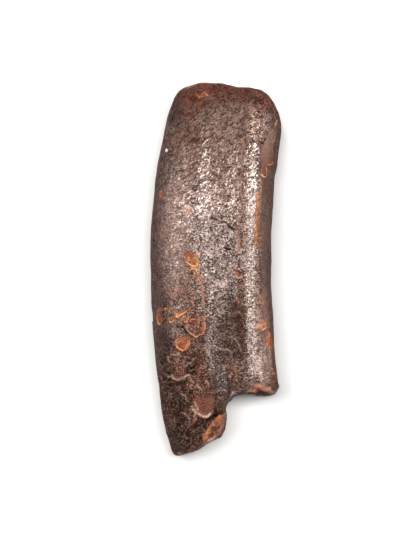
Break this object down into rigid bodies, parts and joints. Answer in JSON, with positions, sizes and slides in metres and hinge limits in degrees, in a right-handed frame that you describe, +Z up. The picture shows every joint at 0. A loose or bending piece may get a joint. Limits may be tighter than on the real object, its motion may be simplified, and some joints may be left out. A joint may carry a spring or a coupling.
{
  "type": "fossil ground sloth tooth",
  "caption": "Bowed column of a ground sloth's cheek tooth, grooved along its length, with a worn cupped crown end and a broken root end, lying on its flatter side.",
  "frame": {"origin": "middle of the bounding box in X and Y, at the height of the surface that the tooth lies on", "axes": "+Y runs along the tooth towards the chewing face, +X towards the narrow ridge, +Z up from the resting side"},
  "size_m": [0.0266, 0.0762, 0.0167],
  "materials": {
    "mineralised_tooth": "dark brown mineralised dentine and cementum, glossy and finely wrinkled, with orange-brown rims where flakes came off"
  },
  "bodies": {
    "root": {"tooth": "mineralised_tooth"}
  },
  "joints": []
}
